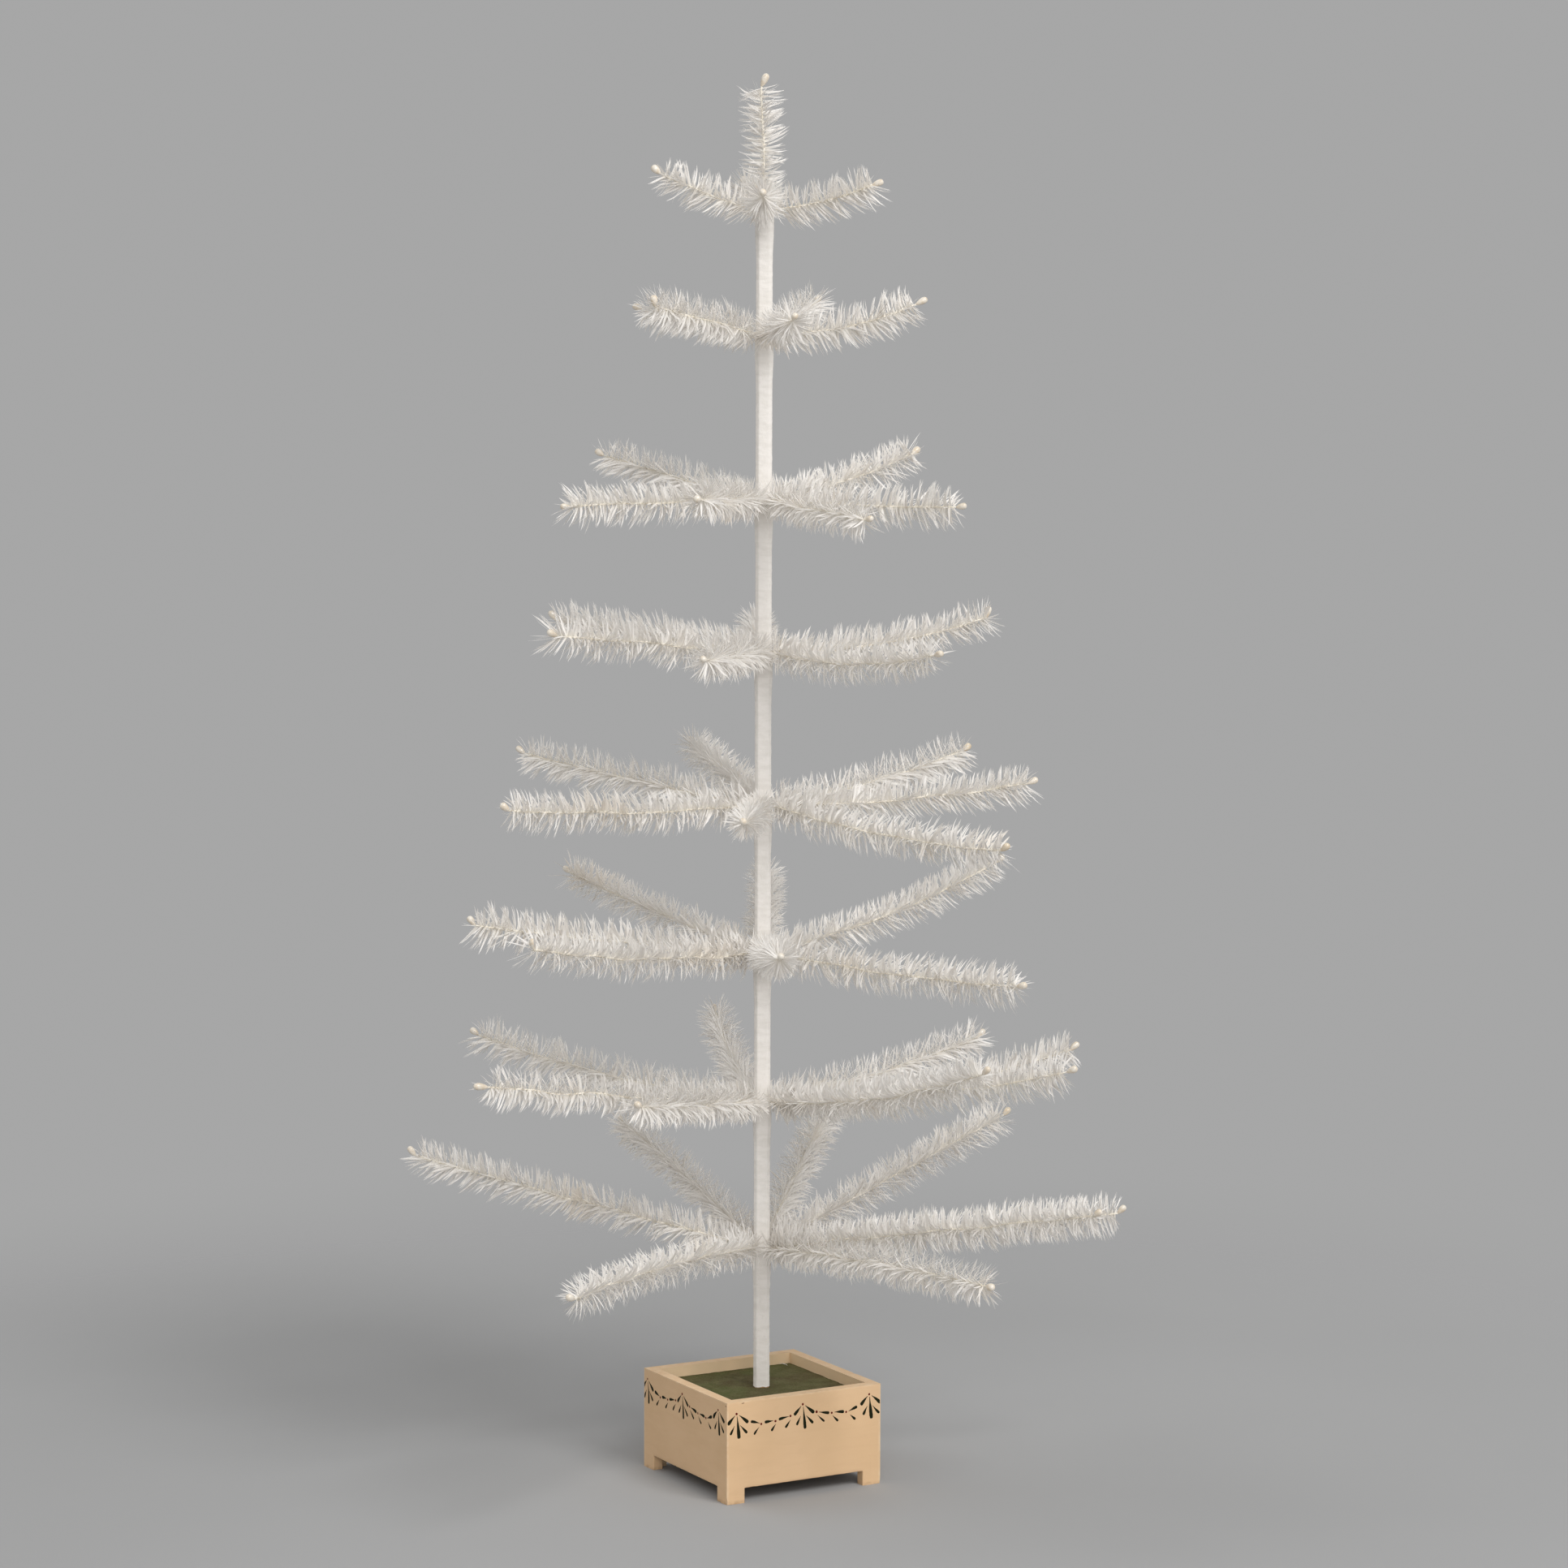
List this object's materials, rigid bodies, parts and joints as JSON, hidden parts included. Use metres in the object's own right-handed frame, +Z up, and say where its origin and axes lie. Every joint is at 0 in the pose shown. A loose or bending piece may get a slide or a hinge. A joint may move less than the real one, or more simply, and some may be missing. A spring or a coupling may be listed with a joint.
{
  "type": "feather christmas tree",
  "caption": "Tabletop tree of feathered wire branches with berry tips, on a paper-wrapped pole that stands in a square painted wooden box with cut-out feet.",
  "frame": {"origin": "middle of the box on the plane that its feet stand on, which is also the trunk's axis", "axes": "+Z up along the trunk; -Y out of the box's front board, +X out of its right board"},
  "size_m": [0.7365, 0.799, 1.5224],
  "materials": {
    "box_paint": "cream milk paint, worn at the edges",
    "moss_paint": "dark olive paint, matte",
    "bare_wood": "unfinished softwood",
    "paper_wrap": "white crepe paper tape, matte",
    "feather": "undyed goose feather barbs on paper-wrapped wire"
  },
  "bodies": {
    "stand": {"box_front_board": "box_paint", "box_back_board": "box_paint", "box_left_board": "box_paint", "box_right_board": "box_paint", "moss_board": "moss_paint", "socket_block": "bare_wood"},
    "trunk": {"trunk_pole": "bare_wood", "trunk_wrap": "paper_wrap", "leader": "feather"},
    "branch_1_back_arm": {"branch_1_back": "feather"},
    "branch_1_left_arm": {"branch_1_left": "feather"},
    "branch_1_front_arm": {"branch_1_front": "feather"},
    "branch_1_right_arm": {"branch_1_right": "feather"},
    "branch_2_back_right_arm": {"branch_2_back_right": "feather"},
    "branch_2_left_a_arm": {"branch_2_left_a": "feather"},
    "branch_2_left_b_arm": {"branch_2_left_b": "feather"},
    "branch_2_front_arm": {"branch_2_front": "feather"},
    "branch_2_right_arm": {"branch_2_right": "feather"},
    "branch_3_right_back_arm": {"branch_3_right_back": "feather"},
    "branch_3_left_back_arm": {"branch_3_left_back": "feather"},
    "branch_3_left_arm": {"branch_3_left": "feather"},
    "branch_3_left_front_arm": {"branch_3_left_front": "feather"},
    "branch_3_right_front_arm": {"branch_3_right_front": "feather"},
    "branch_3_right_arm": {"branch_3_right": "feather"},
    "branch_4_back_arm": {"branch_4_back": "feather"},
    "branch_4_left_a_arm": {"branch_4_left_a": "feather"},
    "branch_4_left_b_arm": {"branch_4_left_b": "feather"},
    "branch_4_front_left_arm": {"branch_4_front_left": "feather"},
    "branch_4_right_front_arm": {"branch_4_right_front": "feather"},
    "branch_4_right_arm": {"branch_4_right": "feather"},
    "branch_5_right_back_arm": {"branch_5_right_back": "feather"},
    "branch_5_back_left_arm": {"branch_5_back_left": "feather"},
    "branch_5_left_back_arm": {"branch_5_left_back": "feather"},
    "branch_5_left_arm": {"branch_5_left": "feather"},
    "branch_5_front_arm": {"branch_5_front": "feather"},
    "branch_5_right_front_arm": {"branch_5_right_front": "feather"},
    "branch_5_right_arm": {"branch_5_right": "feather"},
    "branch_6_right_back_arm": {"branch_6_right_back": "feather"},
    "branch_6_back_arm": {"branch_6_back": "feather"},
    "branch_6_left_back_arm": {"branch_6_left_back": "feather"},
    "branch_6_left_arm": {"branch_6_left": "feather"},
    "branch_6_left_front_arm": {"branch_6_left_front": "feather"},
    "branch_6_front_arm": {"branch_6_front": "feather"},
    "branch_6_right_front_arm": {"branch_6_right_front": "feather"},
    "branch_7_right_back_arm": {"branch_7_right_back": "feather"},
    "branch_7_back_arm": {"branch_7_back": "feather"},
    "branch_7_left_back_arm": {"branch_7_left_back": "feather"},
    "branch_7_left_arm": {"branch_7_left": "feather"},
    "branch_7_left_front_arm": {"branch_7_left_front": "feather"},
    "branch_7_right_front_arm": {"branch_7_right_front": "feather"},
    "branch_7_right_b_arm": {"branch_7_right_b": "feather"},
    "branch_7_right_a_arm": {"branch_7_right_a": "feather"},
    "branch_8_right_back_arm": {"branch_8_right_back": "feather"},
    "branch_8_back_right_arm": {"branch_8_back_right": "feather"},
    "branch_8_back_left_arm": {"branch_8_back_left": "feather"},
    "branch_8_left_arm": {"branch_8_left": "feather"},
    "branch_8_front_left_arm": {"branch_8_front_left": "feather"},
    "branch_8_front_right_arm": {"branch_8_front_right": "feather"},
    "branch_8_right_2_arm": {"branch_8_right_2": "feather"},
    "branch_8_right_arm": {"branch_8_right": "feather"}
  },
  "joints": [
    {"name": "trunk_lift", "type": "slide", "parent": "stand", "child": "trunk", "axis": [0, 0, 1], "range_m": [0, 0.06]},
    {"name": "branch_1_back_fold", "type": "hinge", "parent": "trunk", "child": "branch_1_back_arm", "pos_m": [0.00378, 0.01163, 1.3787], "axis": [0.9511, -0.309, 0], "range_deg": [0, 38]},
    {"name": "branch_1_left_fold", "type": "hinge", "parent": "trunk", "child": "branch_1_left_arm", "pos_m": [-0.00968, 0.00729, 1.3787], "axis": [0.6018, 0.7986, 0], "range_deg": [0, 36]},
    {"name": "branch_1_front_fold", "type": "hinge", "parent": "trunk", "child": "branch_1_front_arm", "pos_m": [-0.006, -0.01039, 1.3787], "axis": [-0.866, 0.5, 0], "range_deg": [0, 54]},
    {"name": "branch_1_right_fold", "type": "hinge", "parent": "trunk", "child": "branch_1_right_arm", "pos_m": [0.00937, -0.00786, 1.3787], "axis": [-0.6428, -0.766, 0], "range_deg": [0, 44.5]},
    {"name": "branch_2_back_right_fold", "type": "hinge", "parent": "trunk", "child": "branch_2_back_right_arm", "pos_m": [0.00985, 0.00826, 1.2456], "axis": [0.6428, -0.766, 0], "range_deg": [0, 42]},
    {"name": "branch_2_left_a_fold", "type": "hinge", "parent": "trunk", "child": "branch_2_left_a_arm", "pos_m": [-0.0057, 0.01223, 1.2456], "axis": [0.9063, 0.4226, 0], "range_deg": [0, 46.3]},
    {"name": "branch_2_left_b_fold", "type": "hinge", "parent": "trunk", "child": "branch_2_left_b_arm", "pos_m": [-0.01262, -0.00434, 1.2456], "axis": [-0.3256, 0.9455, 0], "range_deg": [0, 47.5]},
    {"name": "branch_2_front_fold", "type": "hinge", "parent": "trunk", "child": "branch_2_front_arm", "pos_m": [-0.00397, -0.01152, 1.2456], "axis": [-0.9455, 0.3256, 0], "range_deg": [0, 54]},
    {"name": "branch_2_right_fold", "type": "hinge", "parent": "trunk", "child": "branch_2_right_arm", "pos_m": [0.011, -0.0049, 1.2456], "axis": [-0.4067, -0.9135, 0], "range_deg": [0, 45]},
    {"name": "branch_3_right_back_fold", "type": "hinge", "parent": "trunk", "child": "branch_3_right_back_arm", "pos_m": [0.01326, 0.0021, 1.0683], "axis": [0.1564, -0.9877, 0], "range_deg": [0, 43]},
    {"name": "branch_3_left_back_fold", "type": "hinge", "parent": "trunk", "child": "branch_3_left_back_arm", "pos_m": [-0.0064, 0.01203, 1.0683], "axis": [0.8829, 0.4695, 0], "range_deg": [0, 44]},
    {"name": "branch_3_left_fold", "type": "hinge", "parent": "trunk", "child": "branch_3_left_arm", "pos_m": [-0.0125, 0.0022, 1.0683], "axis": [0.1736, 0.9848, 0], "range_deg": [0, 60]},
    {"name": "branch_3_left_front_fold", "type": "hinge", "parent": "trunk", "child": "branch_3_left_front_arm", "pos_m": [-0.00923, -0.0086, 1.0683], "axis": [-0.682, 0.7314, 0], "range_deg": [0, 57.5]},
    {"name": "branch_3_right_front_fold", "type": "hinge", "parent": "trunk", "child": "branch_3_right_front_arm", "pos_m": [0, -0.01372, 1.0683], "axis": [-1, 0, 0], "range_deg": [0, 63]},
    {"name": "branch_3_right_fold", "type": "hinge", "parent": "trunk", "child": "branch_3_right_arm", "pos_m": [0.00838, -0.00964, 1.0683], "axis": [-0.7547, -0.6561, 0], "range_deg": [0, 59.6]},
    {"name": "branch_4_back_fold", "type": "hinge", "parent": "trunk", "child": "branch_4_back_arm", "pos_m": [0.00545, 0.0107, 0.9047], "axis": [0.891, -0.454, 0], "range_deg": [0, 52]},
    {"name": "branch_4_left_a_fold", "type": "hinge", "parent": "trunk", "child": "branch_4_left_a_arm", "pos_m": [-0.00803, 0.01027, 0.9047], "axis": [0.788, 0.6157, 0], "range_deg": [0, 49.7]},
    {"name": "branch_4_left_b_fold", "type": "hinge", "parent": "trunk", "child": "branch_4_left_b_arm", "pos_m": [-0.01372, 0, 0.9047], "axis": [0, 1, 0], "range_deg": [0, 52.3]},
    {"name": "branch_4_front_left_fold", "type": "hinge", "parent": "trunk", "child": "branch_4_front_left_arm", "pos_m": [-0.00843, -0.00904, 0.9047], "axis": [-0.7314, 0.682, 0], "range_deg": [0, 57.3]},
    {"name": "branch_4_right_front_fold", "type": "hinge", "parent": "trunk", "child": "branch_4_right_front_arm", "pos_m": [0.00367, -0.01281, 0.9047], "axis": [-0.9613, -0.2756, 0], "range_deg": [0, 56.6]},
    {"name": "branch_4_right_fold", "type": "hinge", "parent": "trunk", "child": "branch_4_right_arm", "pos_m": [0.01173, -0.00359, 0.9047], "axis": [-0.2924, -0.9563, 0], "range_deg": [0, 48]},
    {"name": "branch_5_right_back_fold", "type": "hinge", "parent": "trunk", "child": "branch_5_right_back_arm", "pos_m": [0.0132, 0.00233, 0.7383], "axis": [0.1736, -0.9848, 0], "range_deg": [0, 48]},
    {"name": "branch_5_back_left_fold", "type": "hinge", "parent": "trunk", "child": "branch_5_back_left_arm", "pos_m": [0.00281, 0.01216, 0.7383], "axis": [0.9744, -0.225, 0], "range_deg": [0, 48]},
    {"name": "branch_5_left_back_fold", "type": "hinge", "parent": "trunk", "child": "branch_5_left_back_arm", "pos_m": [-0.00778, 0.01071, 0.7383], "axis": [0.809, 0.5878, 0], "range_deg": [0, 48]},
    {"name": "branch_5_left_fold", "type": "hinge", "parent": "trunk", "child": "branch_5_left_arm", "pos_m": [-0.01333, 0.0007, 0.7383], "axis": [0.0523, 0.9986, 0], "range_deg": [0, 56.4]},
    {"name": "branch_5_front_fold", "type": "hinge", "parent": "trunk", "child": "branch_5_front_arm", "pos_m": [-0.00655, -0.01009, 0.7383], "axis": [-0.8387, 0.5446, 0], "range_deg": [0, 56.4]},
    {"name": "branch_5_right_front_fold", "type": "hinge", "parent": "trunk", "child": "branch_5_right_front_arm", "pos_m": [0.0064, -0.01203, 0.7383], "axis": [-0.8829, -0.4695, 0], "range_deg": [0, 64]},
    {"name": "branch_5_right_fold", "type": "hinge", "parent": "trunk", "child": "branch_5_right_arm", "pos_m": [0.01152, -0.00397, 0.7383], "axis": [-0.3256, -0.9455, 0], "range_deg": [0, 53.5]},
    {"name": "branch_6_right_back_fold", "type": "hinge", "parent": "trunk", "child": "branch_6_right_back_arm", "pos_m": [0.01379, 0.00024, 0.578], "axis": [0.0175, -0.9998, 0], "range_deg": [0, 41.6]},
    {"name": "branch_6_back_fold", "type": "hinge", "parent": "trunk", "child": "branch_6_back_arm", "pos_m": [0.006, 0.01039, 0.578], "axis": [0.866, -0.5, 0], "range_deg": [0, 47]},
    {"name": "branch_6_left_back_fold", "type": "hinge", "parent": "trunk", "child": "branch_6_left_back_arm", "pos_m": [-0.00367, 0.01281, 0.578], "axis": [0.9613, 0.2756, 0], "range_deg": [0, 45.5]},
    {"name": "branch_6_left_fold", "type": "hinge", "parent": "trunk", "child": "branch_6_left_arm", "pos_m": [-0.01184, 0.0034, 0.578], "axis": [0.2756, 0.9613, 0], "range_deg": [0, 50.3]},
    {"name": "branch_6_left_front_fold", "type": "hinge", "parent": "trunk", "child": "branch_6_left_front_arm", "pos_m": [-0.013, -0.003, 0.578], "axis": [-0.225, 0.9744, 0], "range_deg": [0, 51.7]},
    {"name": "branch_6_front_fold", "type": "hinge", "parent": "trunk", "child": "branch_6_front_arm", "pos_m": [-0.00527, -0.0108, 0.578], "axis": [-0.8988, 0.4384, 0], "range_deg": [0, 51.7]},
    {"name": "branch_6_right_front_fold", "type": "hinge", "parent": "trunk", "child": "branch_6_right_front_arm", "pos_m": [0.0064, -0.01203, 0.578], "axis": [-0.8829, -0.4695, 0], "range_deg": [0, 60.5]},
    {"name": "branch_7_right_back_fold", "type": "hinge", "parent": "trunk", "child": "branch_7_right_back_arm", "pos_m": [0.01287, 0.00345, 0.4149], "axis": [0.2588, -0.9659, 0], "range_deg": [0, 51.4]},
    {"name": "branch_7_back_fold", "type": "hinge", "parent": "trunk", "child": "branch_7_back_arm", "pos_m": [0.00415, 0.01142, 0.4149], "axis": [0.9397, -0.342, 0], "range_deg": [0, 49]},
    {"name": "branch_7_left_back_fold", "type": "hinge", "parent": "trunk", "child": "branch_7_left_back_arm", "pos_m": [-0.00803, 0.01027, 0.4149], "axis": [0.788, 0.6157, 0], "range_deg": [0, 48.7]},
    {"name": "branch_7_left_fold", "type": "hinge", "parent": "trunk", "child": "branch_7_left_arm", "pos_m": [-0.01346, -0.00141, 0.4149], "axis": [-0.1045, 0.9945, 0], "range_deg": [0, 50.2]},
    {"name": "branch_7_left_front_fold", "type": "hinge", "parent": "trunk", "child": "branch_7_left_front_arm", "pos_m": [-0.00985, -0.00826, 0.4149], "axis": [-0.6428, 0.766, 0], "range_deg": [0, 49.9]},
    {"name": "branch_7_right_front_fold", "type": "hinge", "parent": "trunk", "child": "branch_7_right_front_arm", "pos_m": [0.00278, -0.01307, 0.4149], "axis": [-0.9781, -0.2079, 0], "range_deg": [0, 45.6]},
    {"name": "branch_7_right_b_fold", "type": "hinge", "parent": "trunk", "child": "branch_7_right_b_arm", "pos_m": [0.00826, -0.00985, 0.4149], "axis": [-0.766, -0.6428, 0], "range_deg": [0, 49]},
    {"name": "branch_7_right_a_fold", "type": "hinge", "parent": "trunk", "child": "branch_7_right_a_arm", "pos_m": [0.01152, -0.00397, 0.4149], "axis": [-0.3256, -0.9455, 0], "range_deg": [0, 49.4]},
    {"name": "branch_8_right_back_fold", "type": "hinge", "parent": "trunk", "child": "branch_8_right_back_arm", "pos_m": [0.01307, 0.00278, 0.2544], "axis": [0.2079, -0.9781, 0], "range_deg": [0, 41.4]},
    {"name": "branch_8_back_right_fold", "type": "hinge", "parent": "trunk", "child": "branch_8_back_right_arm", "pos_m": [0.00843, 0.00904, 0.2544], "axis": [0.7314, -0.682, 0], "range_deg": [0, 42]},
    {"name": "branch_8_back_left_fold", "type": "hinge", "parent": "trunk", "child": "branch_8_back_left_arm", "pos_m": [0.00092, 0.01321, 0.2544], "axis": [0.9976, -0.0698, 0], "range_deg": [0, 46]},
    {"name": "branch_8_left_fold", "type": "hinge", "parent": "trunk", "child": "branch_8_left_arm", "pos_m": [-0.00988, 0.00692, 0.2544], "axis": [0.5736, 0.8192, 0], "range_deg": [0, 43.5]},
    {"name": "branch_8_front_left_fold", "type": "hinge", "parent": "trunk", "child": "branch_8_front_left_arm", "pos_m": [-0.01163, -0.00727, 0.2544], "axis": [-0.5299, 0.848, 0], "range_deg": [0, 55.5]},
    {"name": "branch_8_front_right_fold", "type": "hinge", "parent": "trunk", "child": "branch_8_front_right_arm", "pos_m": [0.00141, -0.01346, 0.2544], "axis": [-0.9945, -0.1045, 0], "range_deg": [0, 54.5]},
    {"name": "branch_8_right_2_fold", "type": "hinge", "parent": "trunk", "child": "branch_8_right_2_arm", "pos_m": [0.00753, -0.01116, 0.2544], "axis": [-0.829, -0.5592, 0], "range_deg": [0, 47.5]},
    {"name": "branch_8_right_fold", "type": "hinge", "parent": "trunk", "child": "branch_8_right_arm", "pos_m": [0.011, -0.0049, 0.2544], "axis": [-0.4067, -0.9135, 0], "range_deg": [0, 53]}
  ],
  "couplings": [
    {"joint": "branch_1_back_fold", "follows": "branch_8_front_left_fold", "ratio": 0.68468},
    {"joint": "branch_1_left_fold", "follows": "branch_8_front_left_fold", "ratio": 0.64865},
    {"joint": "branch_1_front_fold", "follows": "branch_8_front_left_fold", "ratio": 0.97297},
    {"joint": "branch_1_right_fold", "follows": "branch_8_front_left_fold", "ratio": 0.8018},
    {"joint": "branch_2_back_right_fold", "follows": "branch_8_front_left_fold", "ratio": 0.75676},
    {"joint": "branch_2_left_a_fold", "follows": "branch_8_front_left_fold", "ratio": 0.83423},
    {"joint": "branch_2_left_b_fold", "follows": "branch_8_front_left_fold", "ratio": 0.85586},
    {"joint": "branch_2_front_fold", "follows": "branch_8_front_left_fold", "ratio": 0.97297},
    {"joint": "branch_2_right_fold", "follows": "branch_8_front_left_fold", "ratio": 0.81081},
    {"joint": "branch_3_right_back_fold", "follows": "branch_8_front_left_fold", "ratio": 0.77477},
    {"joint": "branch_3_left_back_fold", "follows": "branch_8_front_left_fold", "ratio": 0.79279},
    {"joint": "branch_3_left_fold", "follows": "branch_8_front_left_fold", "ratio": 1.0811},
    {"joint": "branch_3_left_front_fold", "follows": "branch_8_front_left_fold", "ratio": 1.036},
    {"joint": "branch_3_right_front_fold", "follows": "branch_8_front_left_fold", "ratio": 1.1351},
    {"joint": "branch_3_right_fold", "follows": "branch_8_front_left_fold", "ratio": 1.0739},
    {"joint": "branch_4_back_fold", "follows": "branch_8_front_left_fold", "ratio": 0.93694},
    {"joint": "branch_4_left_a_fold", "follows": "branch_8_front_left_fold", "ratio": 0.8955},
    {"joint": "branch_4_left_b_fold", "follows": "branch_8_front_left_fold", "ratio": 0.94234},
    {"joint": "branch_4_front_left_fold", "follows": "branch_8_front_left_fold", "ratio": 1.0324},
    {"joint": "branch_4_right_front_fold", "follows": "branch_8_front_left_fold", "ratio": 1.0198},
    {"joint": "branch_4_right_fold", "follows": "branch_8_front_left_fold", "ratio": 0.86486},
    {"joint": "branch_5_right_back_fold", "follows": "branch_8_front_left_fold", "ratio": 0.86486},
    {"joint": "branch_5_back_left_fold", "follows": "branch_8_front_left_fold", "ratio": 0.86486},
    {"joint": "branch_5_left_back_fold", "follows": "branch_8_front_left_fold", "ratio": 0.86486},
    {"joint": "branch_5_left_fold", "follows": "branch_8_front_left_fold", "ratio": 1.0162},
    {"joint": "branch_5_front_fold", "follows": "branch_8_front_left_fold", "ratio": 1.0162},
    {"joint": "branch_5_right_front_fold", "follows": "branch_8_front_left_fold", "ratio": 1.1531},
    {"joint": "branch_5_right_fold", "follows": "branch_8_front_left_fold", "ratio": 0.96396},
    {"joint": "branch_6_right_back_fold", "follows": "branch_8_front_left_fold", "ratio": 0.74955},
    {"joint": "branch_6_back_fold", "follows": "branch_8_front_left_fold", "ratio": 0.84685},
    {"joint": "branch_6_left_back_fold", "follows": "branch_8_front_left_fold", "ratio": 0.81982},
    {"joint": "branch_6_left_fold", "follows": "branch_8_front_left_fold", "ratio": 0.90631},
    {"joint": "branch_6_left_front_fold", "follows": "branch_8_front_left_fold", "ratio": 0.93153},
    {"joint": "branch_6_front_fold", "follows": "branch_8_front_left_fold", "ratio": 0.93153},
    {"joint": "branch_6_right_front_fold", "follows": "branch_8_front_left_fold", "ratio": 1.0901},
    {"joint": "branch_7_right_back_fold", "follows": "branch_8_front_left_fold", "ratio": 0.92613},
    {"joint": "branch_7_back_fold", "follows": "branch_8_front_left_fold", "ratio": 0.88288},
    {"joint": "branch_7_left_back_fold", "follows": "branch_8_front_left_fold", "ratio": 0.87748},
    {"joint": "branch_7_left_fold", "follows": "branch_8_front_left_fold", "ratio": 0.9045},
    {"joint": "branch_7_left_front_fold", "follows": "branch_8_front_left_fold", "ratio": 0.8991},
    {"joint": "branch_7_right_front_fold", "follows": "branch_8_front_left_fold", "ratio": 0.82162},
    {"joint": "branch_7_right_b_fold", "follows": "branch_8_front_left_fold", "ratio": 0.88288},
    {"joint": "branch_7_right_a_fold", "follows": "branch_8_front_left_fold", "ratio": 0.89009},
    {"joint": "branch_8_right_back_fold", "follows": "branch_8_front_left_fold", "ratio": 0.74595},
    {"joint": "branch_8_back_right_fold", "follows": "branch_8_front_left_fold", "ratio": 0.75676},
    {"joint": "branch_8_back_left_fold", "follows": "branch_8_front_left_fold", "ratio": 0.82883},
    {"joint": "branch_8_left_fold", "follows": "branch_8_front_left_fold", "ratio": 0.78378},
    {"joint": "branch_8_front_right_fold", "follows": "branch_8_front_left_fold", "ratio": 0.98198},
    {"joint": "branch_8_right_2_fold", "follows": "branch_8_front_left_fold", "ratio": 0.85586},
    {"joint": "branch_8_right_fold", "follows": "branch_8_front_left_fold", "ratio": 0.95495}
  ]
}
